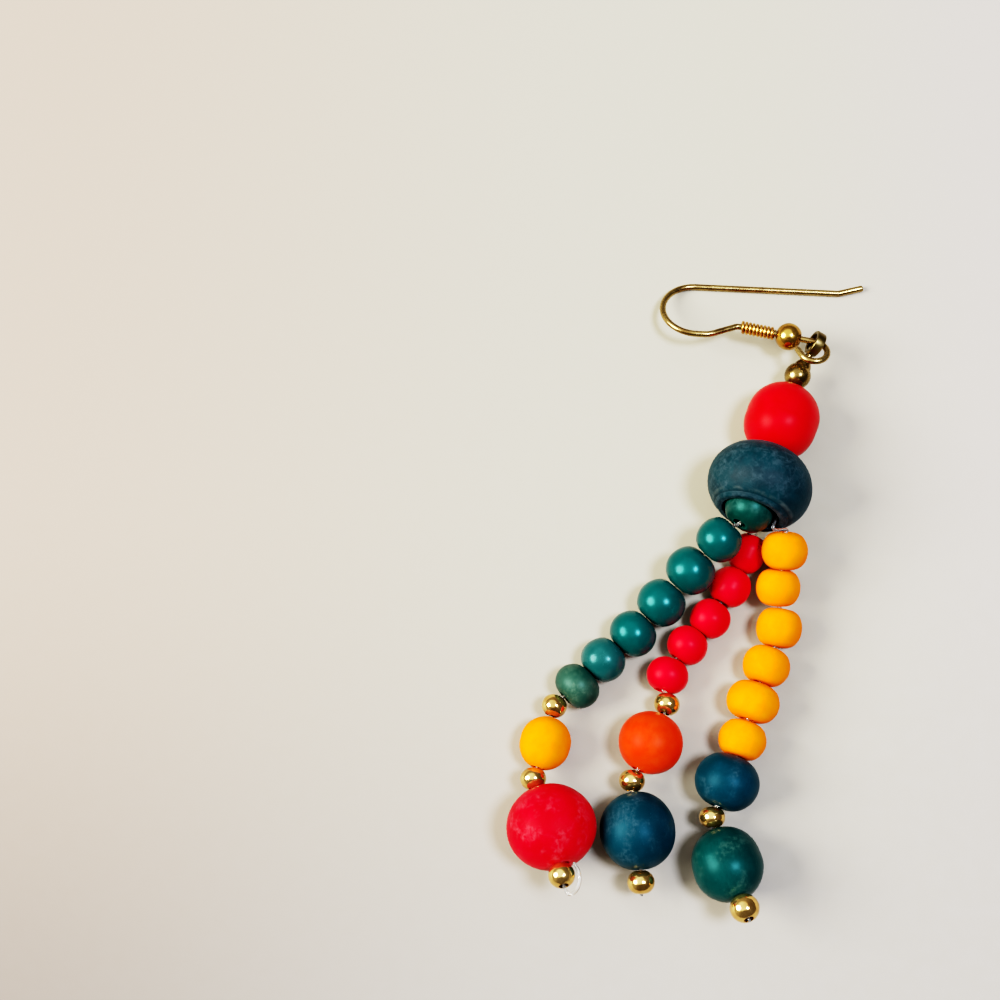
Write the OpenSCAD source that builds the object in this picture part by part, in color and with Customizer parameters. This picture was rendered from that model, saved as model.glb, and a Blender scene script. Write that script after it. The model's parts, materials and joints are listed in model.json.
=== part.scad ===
/*
 * Beaded drop earring on a fish-hook ear wire.
 *
 * The jewel lies on a flat surface, the way it is put down: the ear wire leans on its tail, the cap
 * beads lie beside it, and three strands of wooden beads fan out from the mouth of the collar bead.
 * Units are millimetres. +Z is up from the surface, +X runs along the ear wire's tail to its tip, and
 * +Y runs from the drops to the ear wire. The origin is on the surface, below the middle of the jewel.
 */

/* [Ear wire] */
// Thickness of the ear wire
wire_d = 0.7; // [0.6:0.05:0.75]
// Straight tail of the ear wire, which goes through the ear
tail_l = 15.8; // [14:0.2:18]
// Last stretch of the tail, beyond its kink
tip_l = 2.7; // [2:0.1:3.5]
// Angle of the kink before the tip
tip_kink = 16; // [5:1:25]
// Radius of the bow that hangs in the ear, to the middle of the wire
bow_r = 3.75; // [3.6:0.05:3.9]
// Lean of the bow above the surface
bow_lean = 28; // [26:1:30]
// Radius of the eye at the end of the ear wire, to the middle of the wire
eye_r = 1.5; // [1.4:0.05:1.6]
// Diameter of the ball above the eye
ball_d = 3.05; // [2.9:0.05:3.1]
// Turns in the coil above the ball
coil_turns = 9; // [6:1:9]
// Distance between the coil's turns
coil_pitch = 0.41; // [0.39:0.01:0.44]
// Thickness of the coil's wire
coil_wire_d = 0.34; // [0.28:0.02:0.36]

/* [Bead tip] */
// Diameter of the round tip that holds the threads' knot
tip_ball_d = 2.95; // [2.8:0.05:3]
// Outer diameter of the loop on it, which hangs on the ear wire's eye
loop_d = 2.9; // [2.8:0.05:3]
// Width of the strip that the loop is rolled from
loop_w = 1.1; // [0.9:0.1:1.2]
// Thickness of that strip
strip_t = 0.6; // [0.5:0.05:0.65]

/* [Cap beads] */
// Diameter of the cap bead, above the collar
cap_d = 8; // [7.8:0.1:8.1]
// Length of the cap bead along its hole
cap_l = 8.3; // [8:0.1:8.4]
// Diameter of the collar bead, which gathers the strands
collar_d = 11.4; // [11.2:0.1:11.5]
// Length of the collar bead along its hole
collar_l = 7.6; // [7.4:0.1:7.6]
// Diameter of the wide mouth where the strands leave the collar
mouth_d = 6.3; // [6.2:0.1:6.5]
// Depth of that mouth
mouth_depth = 5.1; // [4.8:0.1:5.4]

/* [Strands] */
// Diameter of the hole through a wooden bead
bore_d = 1.5; // [1.3:0.1:1.6]
// Diameter of the hole through a metal bead
metal_bore_d = 1; // [0.8:0.05:1.1]
// Thickness of the clear thread
thread_d = 0.35; // [0.3:0.05:0.4]

/* [Hidden] */
$fn = 48;

function strand_nodes(strand, count) = [for (i = [1 : count]) str(strand, "_strand_bead_", i)];

// Middle of the jewel's outline, measured from the point on the surface below the collar bead
middle = [-7.22, -11.11, 0];

// A strand is a table with a row for each bead, from the collar down. Its columns:
KIND = 0;
// width across the hole
WIDTH = 1;
// length along the hole
LENGTH = 2;
// width of the flat ends as a share of the bead's width
END_SHARE = 3;
// direction from the bead before it, in degrees from +X
HEADING = 4;
// height of the bead's centre above the surface
HEIGHT = 5;
// space to the bead before it
SPACE = 6;

// Centre of each strand's first bead, seen from above, from the point below the collar bead
green_start = [-1.4, -3.15];
green_strand = [
    ["green", 5.3, 4.1, 0.5, -125, 6.6, 0.1],
    ["green", 5, 4.2, 0.5, -136, 5.5, 0.45],
    ["green", 5.4, 4.5, 0.5, -134, 4.1, 0.2],
    ["green", 5.3, 4.5, 0.5, -133, 3, 0.2],
    ["green", 5.2, 4.2, 0.5, -133, 2.65, 0.2],
    ["green", 4.9, 4.1, 0.5, -139, 2.5, 0.15],
    ["moss", 5.1, 3.7, 0.5, -135, 2.6, 0.1],
    ["gold", 2.75, 2.3, 0.4, -139, 2.7, 0.3],
    ["yellow", 5.4, 5.5, 0.3, -104, 2.72, 0.2],
    ["gold", 2.8, 2.2, 0.4, -109, 3.3, 0.2],
    ["red", 9.4, 8.6, 0.25, -70, 4.68, 0.2],
    ["gold", 2.8, 2.4, 0.4, -79, 7.1, 0.15]
];
red_start = [-1.15, -7.1];
red_strand = [
    ["red", 3.9, 4.1, 0.5, -110, 2.01, 0.1],
    ["red", 4.4, 4, 0.5, -118, 2.21, 0.2],
    ["red", 4.4, 3.8, 0.5, -123, 2.2, 0.25],
    ["red", 4.4, 3.7, 0.5, -131, 2.2, 0.1],
    ["red", 4.5, 3.6, 0.5, -124, 2.25, 0.3],
    ["gold", 2.8, 2.2, 0.4, -93, 2.6, 0.25],
    ["orange", 6.9, 6.4, 0.25, -114, 3.45, 0.35],
    ["gold", 2.8, 2.2, 0.4, -117, 3.1, 0.2],
    ["blue", 7.9, 8, 0.25, -85, 3.97, 0.25],
    ["gold", 2.9, 2.4, 0.4, -87, 3.8, 0.1]
];
yellow_start = [2.5, -7.32];
yellow_strand = [
    ["yellow", 5, 4, 0.56, -90, 4.85, 0.1],
    ["yellow", 4.8, 3.9, 0.58, -99, 3.4, 0.15],
    ["yellow", 4.9, 4.15, 0.58, -89, 2.5, 0.35],
    ["yellow", 5.1, 3.95, 0.58, -110, 2.6, 0.35],
    ["yellow", 5.7, 4.05, 0.58, -112, 2.87, 0.2],
    ["yellow", 5.1, 3.9, 0.58, -107, 2.8, 0.25],
    ["blue", 6.9, 5.6, 0.4, -112, 3.46, 0.15],
    ["gold", 2.8, 2.1, 0.4, -114, 3.1, 0.2],
    ["green", 7.4, 7.7, 0.25, -74, 3.81, 0.25],
    ["gold", 3.1, 2.7, 0.4, -73, 6.4, 0.15]
];

// Heading and climb of the hole in each strand's first bead, which faces the collar's mouth, in degrees
green_lead = [-125, 10];
red_lead = [-114, -9];
yellow_lead = [-94, -18];

// Unit vector with a heading in degrees from +X and a climb in degrees from the surface
function direction(heading, climb) =
    [cos(heading) * cos(climb), sin(heading) * cos(climb), sin(climb)];

// Step from one bead's centre to the next, which keeps their space and both their heights
function step(before, bead) =
    let (
        reach = (before[LENGTH] + bead[LENGTH]) / 2 + bead[SPACE],
        rise = bead[HEIGHT] - before[HEIGHT],
        flat = sqrt(reach * reach - rise * rise)
    )
    flat * direction(bead[HEADING], 0) + [0, 0, rise];

// Centres of a strand's beads
function centres(rows, here, i = 0) =
    i == len(rows) - 1 ? [here] : concat([here], centres(rows, here + step(rows[i], rows[i + 1]), i + 1));

function first_centre(start, rows) = [start[0], start[1], rows[0][HEIGHT]];

function unit(v) = v / norm(v);

// Direction of each bead's hole: along the chord between its neighbours, but for the first bead
function hole_directions(points, lead) = [
    for (i = [0 : len(points) - 1])
        i == 0
            ? direction(lead[0], lead[1])
            : unit(points[min(i + 1, len(points) - 1)] - points[i - 1])
];

green_centres = centres(green_strand, first_centre(green_start, green_strand));
red_centres = centres(red_strand, first_centre(red_start, red_strand));
yellow_centres = centres(yellow_strand, first_centre(yellow_start, yellow_strand));
green_holes = hole_directions(green_centres, green_lead);
red_holes = hole_directions(red_centres, red_lead);
yellow_holes = hole_directions(yellow_centres, yellow_lead);

// The cap beads climb towards the collar's mouth, because the collar is the thicker one
cap_heading = -111;
cap_climb = 9.5;
cap_axis = direction(cap_heading, cap_climb);
collar_heading = -110;
collar_climb = 13;
collar_axis = direction(collar_heading, collar_climb);
collar_space = 0.15;
collar_centre = [-0.04, -0.12, 5.64];
collar_top = collar_centre - (collar_l + collar_space) / 2 * collar_axis;
cap_centre = collar_top - (cap_l + collar_space) / 2 * cap_axis;
cap_end_share = 0.35;
collar_end_share = 0.46;
// How much shorter the collar bead is at its mouth than a bead whose two ends are alike
rim_cut = 0.4;
cavity_floor = collar_centre + (collar_l / 2 - mouth_depth) * collar_axis;

// The bead tip sits on the cap bead and turns up to the ear wire's eye
tip_space = 0.25;
tip_centre = cap_centre - (cap_l / 2 + tip_ball_d / 2 + tip_space) * cap_axis;
neck_d = 0.8;
neck_reach = 2.9;
neck_heading = 60;
neck_climb = 12;
loop_roll = 73;
tip_bore_d = 1.1;

// Where the ear wire's tail starts, and the tail's heading
tail_start = [-5.7, 23.95, wire_d / 2];
tail_heading = -2.8;

// The ear wire as it is bent: a straight run, then a turn to the left in degrees, at a radius
RUN = 0;
TURN = 1;
RADIUS = 2;
bend_step = 12;
// Stretch of the swept wire that is buried in the tip's cylinder, and how far it lies below its side
tip_overlap = 0.3;
tip_step = 0.01;
tail_bends = [
    [tail_l, tip_kink, 1],
    [tip_overlap, 0, 0]
];
TIP_ROW = 1;
shank_run = 2.5;
coil_run = 8.5;
bow_bends = [
    [0.3, 180, bow_r],
    [0.7, 25, 3],
    [shank_run, -37.5, 1],
    [coil_run, -232, eye_r],
    [1.1, 0, 0]
];
COIL_ROW = 3;
coil_l = coil_turns * coil_pitch;
coil_steps = 14;
coil_gap = 0.05;
ball_l = 0.9 * ball_d;
ball_end_share = 0.4;
ball_bore_d = 1;

gold = "goldenrod";
colours = [
    ["green", "teal"],
    ["moss", "seagreen"],
    ["red", "crimson"],
    ["orange", "orangered"],
    ["yellow", "gold"],
    ["blue", "steelblue"],
    ["gold", gold]
];

function colour(kind) = colours[search([kind], colours)[0]][1];

function bore(kind) = kind == "gold" ? metal_bore_d : bore_d;

// Corners round a turned bead, the ear wire, and the finer coil wire and threads
bead_sides = 64;
hook_sides = 10;
fine_sides = 6;

// Moves the jewel so that its middle stands over the origin
module laid() {
    translate(-middle) children();
}

// Turns +X to a direction
module aimed(v) {
    rotate([0, -asin(v[2] / norm(v)), atan2(v[1], v[0])]) children();
}

// A turned bead along +X. Its side is one arc from flat end to flat end, and on a long bead the arc of a
// ball at each end, with a straight stretch between them
module turned_bead(width, length, end_share, hole_d) {
    r = width / 2;
    half = length / 2;
    bulge = r * (1 - end_share);
    side_r = min((half * half + bulge * bulge) / (2 * bulge), r);
    straight = half - sqrt(2 * side_r * bulge - bulge * bulge);
    hole_r = hole_d / 2;
    rotate([0, 90, 0])
        rotate_extrude($fn = bead_sides)
            intersection() {
                if (side_r < r) {
                    translate([r - side_r, 0]) circle(side_r);
                } else {
                    long_outline(r, straight);
                }
                translate([hole_r, -half]) square([r - hole_r, length]);
            }
}

module long_outline(r, straight) {
    translate([0, straight]) circle(r);
    translate([0, -straight]) circle(r);
    translate([0, -straight]) square([r, 2 * straight]);
}

// A round wire through the points, as a mesh with a ring of corners at each point
module wire(points, d, sides, up = [0, 0, 1]) {
    last = len(points) - 1;
    rings = [
        for (i = [0 : last])
            let (
                ahead = unit(points[min(i + 1, last)] - points[max(i - 1, 0)]),
                side = unit(cross(ahead, up)),
                top = cross(side, ahead)
            )
            for (k = [0 : sides - 1])
                points[i] + d / 2 * (cos(360 * k / sides) * side + sin(360 * k / sides) * top)
    ];
    walls = [
        for (i = [0 : last - 1])
            for (k = [0 : sides - 1])
                let (
                    a = i * sides + k,
                    b = i * sides + (k + 1) % sides
                )
                each [[a, b, a + sides], [b, b + sides, a + sides]]
    ];
    start_cap = [for (k = [sides - 1 : -1 : 0]) k];
    end_cap = [for (k = [0 : sides - 1]) last * sides + k];
    polyhedron(rings, concat(walls, [start_cap, end_cap]));
}

// Points along a wire that follows a table of bends in its own plane, from the origin along +X
function bent_points(bends, here = [0, 0], heading = 0, i = 0) =
    i == len(bends) ? [here] :
    let (
        row = bends[i],
        bend_start = here + row[RUN] * [cos(heading), sin(heading)],
        side = sign(row[TURN]) * row[RADIUS] * [-sin(heading), cos(heading)],
        centre = bend_start + side,
        steps = ceil(abs(row[TURN]) / bend_step)
    )
    concat(
        [here],
        [for (k = [0 : steps - 1]) centre - turned(side, row[TURN] * k / steps)],
        bent_points(bends, centre - turned(side, row[TURN]), heading + row[TURN], i + 1)
    );

function turned(v, angle) = [v[0] * cos(angle) - v[1] * sin(angle), v[0] * sin(angle) + v[1] * cos(angle)];

// Places children at the start of a row of the table
module at_row(bends, row, i = 0) {
    if (i == row) {
        children();
    } else {
        turn = bends[i][TURN];
        sideways = sign(turn) * bends[i][RADIUS] * (1 - cos(turn));
        translate([bends[i][RUN] + bends[i][RADIUS] * sin(abs(turn)), sideways, 0])
            rotate([0, 0, turn]) at_row(bends, row, i + 1) children();
    }
}

// Start of the tail, level with the surface
module tail_frame() {
    laid() translate(tail_start) rotate([0, 0, tail_heading]) children();
}

// Start of the bow, in its leaning plane
module bow_frame() {
    tail_frame() rotate([-bow_lean, 0, 0]) rotate([0, 0, 180]) children();
}

// The ear wire is swept in one piece from the kink to the eye, and its tip is a true cylinder
module ear_hook() {
    tail = [for (p = bent_points(tail_bends)) [p[0], p[1], 0]];
    bow = [for (p = bent_points(bow_bends)) [-p[0], -p[1] * cos(bow_lean), p[1] * sin(bow_lean)]];
    color(gold)
        tail_frame() {
            wire(
                concat([for (i = [len(tail) - 1 : -1 : 1]) tail[i]], [for (i = [1 : len(bow) - 1]) bow[i]]),
                wire_d - 2 * tip_step,
                hook_sides,
                [0, sin(bow_lean), cos(bow_lean)]
            );
            at_row(tail_bends, TIP_ROW)
                rotate([0, 90, 0]) cylinder(h = tip_l, d = wire_d);
        }
}

module hook_coil() {
    coil_r = wire_d / 2 + coil_gap + coil_wire_d / 2;
    color(gold)
        bow_frame()
            at_row(bow_bends, COIL_ROW)
                wire(
                    [
                        for (i = [0 : coil_turns * coil_steps])
                            [
                                coil_pitch * i / coil_steps + coil_wire_d / 2,
                                coil_r * cos(360 * i / coil_steps),
                                coil_r * sin(360 * i / coil_steps)
                            ]
                    ],
                    coil_wire_d,
                    fine_sides,
                    [1, 0, 0]
                );
}

module hook_ball() {
    color(gold)
        bow_frame()
            at_row(bow_bends, COIL_ROW)
                translate([coil_l + coil_wire_d + coil_gap + ball_l / 2, 0, 0])
                    turned_bead(ball_d, ball_l, ball_end_share, ball_bore_d);
}

module bead_tip() {
    loop_r = loop_d / 2;
    color(gold)
        laid()
            translate(tip_centre)
                difference() {
                    union() {
                        sphere(d = tip_ball_d);
                        aimed(direction(neck_heading, neck_climb)) {
                            rotate([0, 90, 0]) cylinder(h = neck_reach, d = neck_d);
                            translate([neck_reach + loop_r - strip_t / 2, 0, 0])
                                rotate([-loop_roll, 0, 0])
                                    rotate_extrude() strip_section(loop_r);
                        }
                    }
                    aimed(cap_axis) rotate([0, 90, 0]) cylinder(h = tip_ball_d, d = tip_bore_d);
                }
}

// Section of the rolled strip, with rounded edges
module strip_section(outer_r) {
    half = (loop_w - strip_t) / 2;
    translate([outer_r - strip_t / 2, 0]) {
        translate([0, half]) circle(d = strip_t);
        translate([0, -half]) circle(d = strip_t);
        square([strip_t, 2 * half], center = true);
    }
}

module cap_bead() {
    color(colour("red"))
        laid()
            translate(cap_centre)
                aimed(cap_axis) turned_bead(cap_d, cap_l, cap_end_share, bore_d);
}

module collar_bead() {
    color(colour("blue"))
        laid()
            translate(collar_centre)
                aimed(collar_axis)
                    difference() {
                        translate([rim_cut / 2, 0, 0])
                            turned_bead(collar_d, collar_l + rim_cut, collar_end_share, bore_d);
                        translate([collar_l / 2, 0, 0])
                            rotate([0, 90, 0]) cylinder(h = collar_l, d = 2 * collar_d);
                        translate([collar_l / 2 - mouth_depth, 0, 0])
                            rotate([0, 90, 0]) cylinder(h = collar_l, d = mouth_d, $fn = bead_sides);
                    }
}

module strand_bead(rows, points, holes, i) {
    row = rows[i];
    color(colour(row[KIND]))
        laid()
            translate(points[i])
                aimed(holes[i])
                    turned_bead(row[WIDTH], row[LENGTH], row[END_SHARE], bore(row[KIND]));
}

// A strand's thread: from the bead tip through the cap beads, past the first green bead where it has
// one, and straight through each bead's hole
function thread_route(rows, points, holes, lane, mouth_points, free_end) =
    let (last = len(points) - 1)
    concat(
        [tip_centre + knot_depth * cap_axis + lane],
        [cap_centre + lane, collar_top + lane, cavity_floor + lane],
        mouth_points,
        [points[0] - (rows[0][LENGTH] / 2 + lead_in) * holes[0]],
        [
            for (i = [0 : last])
                let (reach = straight_share * rows[i][LENGTH] * holes[i])
                each [points[i] - reach, points[i] + reach]
        ],
        [for (p = free_end) points[last] + p]
    );

// The knot lies this far inside the round tip's hole
knot_depth = 0.3;
// Share of a bead's length, to each side of its centre, where the thread keeps to the middle of the hole
straight_share = 0.42;
// How far before the first bead the thread lines up with its hole
lead_in = 0.3;

// Places round the cap beads' hole that keep the three threads apart, as angles from the left
lane_r = 0.3;
green_lane = 90;
red_lane = 330;
yellow_lane = 210;

function lane(angle) =
    lane_r * (cos(angle) * unit(cross(cap_axis, [0, 0, 1])) + sin(angle) * [0, 0, 1]);

// A thread's way out of the collar's mouth beside the first green bead: along the wall of the mouth,
// at an angle round it, and over its rim
wall_gap = 0.2;
wall_r = mouth_d / 2 - thread_d / 2 - wall_gap;
wall_depth = 2.5;
rim_step = 0.7;
red_wall = -102;
yellow_wall = 180;

function mouth_route(angle) =
    let (
        side = unit(cross(collar_axis, [0, 0, 1])),
        top = cross(side, collar_axis),
        wall = collar_centre + wall_r * (cos(angle) * side + sin(angle) * top)
    )
    [
        wall + (collar_l / 2 - wall_depth) * collar_axis,
        wall + (collar_l / 2 + rim_step) * collar_axis
    ];

// Each thread's end beyond its last bead's centre; the green strand's is a curl
red_end = [[0, -1.35, -0.1]];
yellow_end = [[0.4, -1.3, 0.6]];
green_end = [
    [0.3, -1.3, 0.7],
    [0.7, -1.9, 1],
    [1.4, -1.6, 1.2],
    [1.8, -0.7, 1.2],
    [1.7, 0.4, 1.2],
    [1.2, 1.3, 1.2]
];

module thread(route) {
    color("whitesmoke", 0.5) laid() wire(route, thread_d, fine_sides);
}

module green_thread() {
    thread(thread_route(green_strand, green_centres, green_holes, lane(green_lane), [], green_end));
}

module red_thread() {
    mouth_points = mouth_route(red_wall);
    thread(thread_route(red_strand, red_centres, red_holes, lane(red_lane), mouth_points, red_end));
}

module yellow_thread() {
    mouth_points = mouth_route(yellow_wall);
    thread(
        thread_route(yellow_strand, yellow_centres, yellow_holes, lane(yellow_lane), mouth_points, yellow_end)
    );
}

ear_hook();
hook_coil();
hook_ball();
bead_tip();
cap_bead();
collar_bead();
green_thread();
red_thread();
yellow_thread();
for (i = [0 : len(green_strand) - 1])
    strand_bead(green_strand, green_centres, green_holes, i);
for (i = [0 : len(red_strand) - 1])
    strand_bead(red_strand, red_centres, red_holes, i);
for (i = [0 : len(yellow_strand) - 1])
    strand_bead(yellow_strand, yellow_centres, yellow_holes, i);
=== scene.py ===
import json
import math

import bmesh
import bpy
from mathutils import Matrix, Vector, noise


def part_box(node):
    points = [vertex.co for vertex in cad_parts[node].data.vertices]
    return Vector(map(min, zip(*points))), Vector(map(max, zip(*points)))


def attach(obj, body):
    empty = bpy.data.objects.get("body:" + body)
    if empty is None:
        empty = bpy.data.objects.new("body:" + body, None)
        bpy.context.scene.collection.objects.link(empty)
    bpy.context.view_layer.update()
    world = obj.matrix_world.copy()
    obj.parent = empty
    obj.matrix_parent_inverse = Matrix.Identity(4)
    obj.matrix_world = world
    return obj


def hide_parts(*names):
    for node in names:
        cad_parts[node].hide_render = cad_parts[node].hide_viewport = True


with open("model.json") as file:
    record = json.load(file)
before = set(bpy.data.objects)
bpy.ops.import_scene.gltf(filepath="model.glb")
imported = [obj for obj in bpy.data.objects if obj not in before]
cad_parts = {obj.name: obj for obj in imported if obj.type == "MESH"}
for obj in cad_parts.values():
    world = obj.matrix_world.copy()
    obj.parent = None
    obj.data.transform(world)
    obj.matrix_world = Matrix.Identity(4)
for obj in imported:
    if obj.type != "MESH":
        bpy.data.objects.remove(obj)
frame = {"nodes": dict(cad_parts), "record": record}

# The finish of a beaded drop earring that lies on a pale surface. Every piece is placed by the packed
# solids. Lengths are metres unless a comment says mm.
MM = 0.001
UP = Vector((0, 0, 1))
BODY = "root"
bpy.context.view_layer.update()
SLOT_OF = {row["node"]: row["material_slot"] for row in frame["record"]["subparts"]}
STRANDS = ("green", "red", "yellow")
# A seed makes a piece's pattern its own. The strands' beads count up from 1.
SEED = {"cap_bead": 41, "collar_bead": 52, "ear_hook": 61, "hook_coil": 63, "hook_ball": 64,
        "bead_tip": 65, "bead_tip_loop": 66, "threads": 3, "sheet": 0}


# Colours

# Contrast of a telephone's picture: what goes in and what comes out, in linear light
TONE = [(0.0, 0.0), (0.007, 0.0015), (0.015, 0.007), (0.03, 0.026), (0.06, 0.09), (0.1, 0.2),
        (0.145, 0.32), (0.2, 0.44), (0.27, 0.56), (0.35, 0.65), (0.45, 0.72), (0.6, 0.785), (0.8, 0.88),
        (1.0, 1.0)]
# How brightly a white surface that faces the light would glow
LIGHT_LEVEL = 2.1
# The most that any surface sends back
PALEST = 0.88


def linear_channel(value):
    """Linear light of a screen value from 0 to 255."""
    share = value / 255
    return share / 12.92 if share <= 0.04045 else ((share + 0.055) / 1.055) ** 2.4


def before_tone(value):
    """What goes into the tone curve, from what comes out."""
    for (x0, y0), (x1, y1) in zip(TONE, TONE[1:]):
        if value <= y1:
            break
    return x0 + (x1 - x0) * (value - y0) / (y1 - y0)


def lit(red, green, blue):
    """Colour of a surface that shows on the screen with these values, from 0 to 255, where light falls on
    it. Above 255 it is so bright that its shaded side is bright too."""
    channels = [before_tone(linear_channel(v)) / LIGHT_LEVEL for v in (red, green, blue)]
    return tuple(min(c, PALEST) for c in channels) + (1.0,)


# Node trees

def new_material(name):
    """An empty material, and its node tree."""
    material = bpy.data.materials.new(name)
    material.use_nodes = True
    tree = material.node_tree
    tree.nodes.clear()
    return material, tree


def add(tree, kind, inputs=None, **settings):
    """Adds a node. Inputs are values or the outputs of other nodes, by socket name or number."""
    node = tree.nodes.new(kind)
    for name, value in settings.items():
        setattr(node, name, value)
    for name, value in (inputs or {}).items():
        if isinstance(value, bpy.types.NodeSocket):
            tree.links.new(value, node.inputs[name])
        else:
            node.inputs[name].default_value = value
    return node


def mixed(tree, share, first, second):
    """Colour between first and second."""
    factor, colour_a, colour_b, result = 0, 6, 7, 2
    inputs = {factor: share, colour_a: first, colour_b: second}
    return add(tree, "ShaderNodeMix", inputs, data_type="RGBA").outputs[result]


def between(tree, value, low, high, low_to=0.0, high_to=1.0):
    """Value as a smooth step from low to high."""
    node = add(tree, "ShaderNodeMapRange", {0: value, 1: low, 2: high, 3: low_to, 4: high_to},
               interpolation_type="SMOOTHSTEP")
    return node.outputs[0]


def math_node(tree, operation, first, second=0.0):
    return add(tree, "ShaderNodeMath", {0: first, 1: second}, operation=operation).outputs[0]


def times(tree, first, second):
    return math_node(tree, "MULTIPLY", first, second)


# How far one seed moves a pattern, in mm
PATTERN_STEP = (7.31, 3.17, 5.73)


def own_spot(tree):
    """A piece's own coordinates in millimetres."""
    return add(tree, "ShaderNodeAttribute", attribute_name="spot").outputs["Vector"]


def spot_mm(tree, seed, stretch=(1, 1, 1)):
    """A piece's own coordinates in millimetres, moved by the seed so that no two pieces look alike."""
    place = tuple(seed * step for step in PATTERN_STEP)
    inputs = {"Vector": own_spot(tree), "Location": place, "Scale": stretch}
    return add(tree, "ShaderNodeMapping", inputs).outputs["Vector"]


def cloud(tree, vector, scale, detail=3.0, roughness=0.5, distortion=0.0):
    """Noise from 0 to 1, scale features a millimetre."""
    inputs = {"Vector": vector, "Scale": scale, "Detail": detail, "Roughness": roughness,
              "Distortion": distortion}
    return add(tree, "ShaderNodeTexNoise", inputs).outputs[0]


def worn_edge(tree):
    """How worn the surface is, from 0 to 1."""
    return add(tree, "ShaderNodeAttribute", attribute_name="edge").outputs["Fac"]


def bumped(tree, height, depth_mm, strength=1.0):
    """Normal of a surface with this relief."""
    inputs = {"Height": height, "Strength": strength, "Distance": depth_mm * MM}
    return add(tree, "ShaderNodeBump", inputs).outputs["Normal"]


def shaded(tree, inputs):
    """Ends the tree with the shader that these inputs feed."""
    surface = add(tree, "ShaderNodeBsdfPrincipled", inputs)
    add(tree, "ShaderNodeOutputMaterial", {"Surface": surface.outputs[0]})


# Finishes

# Painted and dyed wood: body colour, its darker tone, the colour where it is rubbed, how much is rubbed,
# how many fibres show there in a millimetre, how much pale speckle, how far grain darkens it, how rough
# it is, how strongly it mirrors, and the depth of its relief in mm
WOOD = {
    "green_wood": dict(body=lit(0, 109, 104), deep=lit(0, 90, 86), rubbed=lit(50, 146, 136),
                       wear=0.1, fibre=2.2, speckle=0.2, grain=0.25, rough=0.25, gloss=0.26, bump=0.003),
    "moss_wood": dict(body=lit(48, 110, 84), deep=lit(12, 80, 62), rubbed=lit(134, 170, 140),
                      wear=0.4, fibre=2.6, speckle=0.9, grain=0.35, rough=0.4, gloss=0.18, bump=0.008),
    "red_wood": dict(body=lit(254, 0, 32), deep=lit(250, 0, 20), rubbed=lit(255, 50, 84),
                     wear=0.06, fibre=2.4, speckle=0.0, grain=0.1, rough=0.36, gloss=0.14, bump=0.003),
    "orange_wood": dict(body=lit(260, 84, 4), deep=lit(255, 60, 0), rubbed=lit(262, 112, 26),
                        wear=0.12, fibre=2.4, speckle=0.1, grain=0.2, rough=0.42, gloss=0.12, bump=0.005),
    "yellow_wood": dict(body=lit(290, 202, 0), deep=lit(285, 190, 0), rubbed=lit(290, 212, 20),
                        wear=0.2, fibre=2.6, speckle=0.1, grain=0.15, rough=0.6, gloss=0.06, bump=0.006),
    "blue_wood": dict(body=lit(2, 74, 98), deep=lit(0, 54, 74), rubbed=lit(92, 136, 150),
                      wear=0.3, fibre=2.6, speckle=1.0, grain=0.35, rough=0.42, gloss=0.1, bump=0.008),
}
# What differs on single beads
WOOD_OF_NODE = {
    "cap_bead": dict(body=lit(245, 0, 13), deep=lit(241, 0, 4), wear=0.0, grain=0.05, gloss=0.12),
    "green_strand_bead_1": dict(body=lit(4, 84, 70), deep=lit(0, 62, 52), rubbed=lit(80, 144, 128),
                                wear=0.25, speckle=1.0, rough=0.34, gloss=0.16),
    "green_strand_bead_6": dict(body=lit(30, 130, 124), deep=lit(8, 108, 104), speckle=0.5),
    "green_strand_bead_11": dict(body=lit(246, 0, 30), deep=lit(238, 0, 17), rubbed=lit(250, 116, 132),
                                 wear=0.42, fibre=1.8, speckle=0.5, grain=0.2, rough=0.48, gloss=0.1),
    "red_strand_bead_9": dict(body=lit(2, 70, 92), wear=0.4, speckle=1.4, fibre=3.2),
    "yellow_strand_bead_9": dict(body=lit(2, 82, 78), deep=lit(0, 60, 58), rubbed=lit(84, 140, 124),
                                 wear=0.4, speckle=1.2, grain=0.4, gloss=0.1, rough=0.32, bump=0.012),
}
# How far the varnish's mirroring takes on the colour below it
VARNISH_TINT = 0.7
# Grain runs along the hole, so that its pattern is stretched that way and narrowed across
GRAIN_STRETCH = (0.45, 2.6, 2.6)


def varnish(colour):
    """Colour of the mirroring on a dyed and varnished bead."""
    top = max(colour[:3])
    return tuple(1 - VARNISH_TINT * (1 - c / top) for c in colour[:3]) + (1.0,)


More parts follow.
